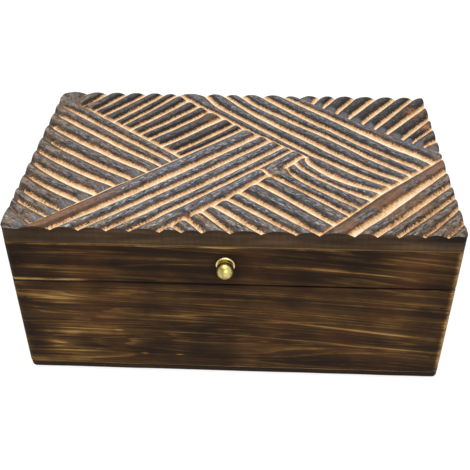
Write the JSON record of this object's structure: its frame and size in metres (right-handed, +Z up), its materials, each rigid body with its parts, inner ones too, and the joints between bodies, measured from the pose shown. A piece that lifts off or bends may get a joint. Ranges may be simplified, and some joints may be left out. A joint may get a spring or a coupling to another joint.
{
  "type": "carved wooden box",
  "caption": "Rectangular wooden keepsake box with a diagonally reeded carved lid on rear hinges, and a brass ball knob that turns a hidden catch.",
  "frame": {"origin": "middle of the underside of the bottom board", "axes": "+X along the length, front towards -Y, +Z up"},
  "size_m": [0.203, 0.1369, 0.0888],
  "materials": {
    "carved_wood": "burnt reeds with pale carved valleys, waxed",
    "burnt_wood": "dark burnt grain, waxed",
    "polished_brass": "polished",
    "hinge_brass": "satin",
    "nail_steel": "dull"
  },
  "bodies": {
    "base": {"bottom_board": "burnt_wood", "base_front_board": "burnt_wood", "base_back_board": "burnt_wood", "base_left_board": "burnt_wood", "base_right_board": "burnt_wood", "base_corner_nails": "nail_steel", "bottom_brads": "nail_steel", "keeper_pin": "hinge_brass", "left_hinge_lower_leaf": "hinge_brass", "right_hinge_lower_leaf": "hinge_brass", "left_hinge_pin": "hinge_brass", "right_hinge_pin": "hinge_brass", "lower_hinge_screws": "hinge_brass"},
    "lid": {"carved_lid_panel": "carved_wood", "lid_front_rail": "burnt_wood", "lid_back_rail": "burnt_wood", "lid_left_rail": "burnt_wood", "lid_right_rail": "burnt_wood", "lid_corner_nails": "nail_steel", "knob_collar": "polished_brass", "left_hinge_upper_leaf": "hinge_brass", "right_hinge_upper_leaf": "hinge_brass", "upper_hinge_screws": "hinge_brass"},
    "catch": {"knob": "polished_brass", "knob_spindle": "hinge_brass", "catch_washer": "hinge_brass", "crescent_catch": "hinge_brass", "catch_nut": "hinge_brass"}
  },
  "joints": [
    {"name": "lid_hinge", "type": "hinge", "parent": "base", "child": "lid", "pos_m": [0, 0.06225, 0.0576], "axis": [-1, 0, 0], "range_deg": [0, 105]},
    {"name": "knob_turn", "type": "hinge", "parent": "lid", "child": "catch", "pos_m": [-0.0028, -0.06425, 0.06975], "axis": [0, 1, 0], "range_deg": [0, 90]}
  ]
}
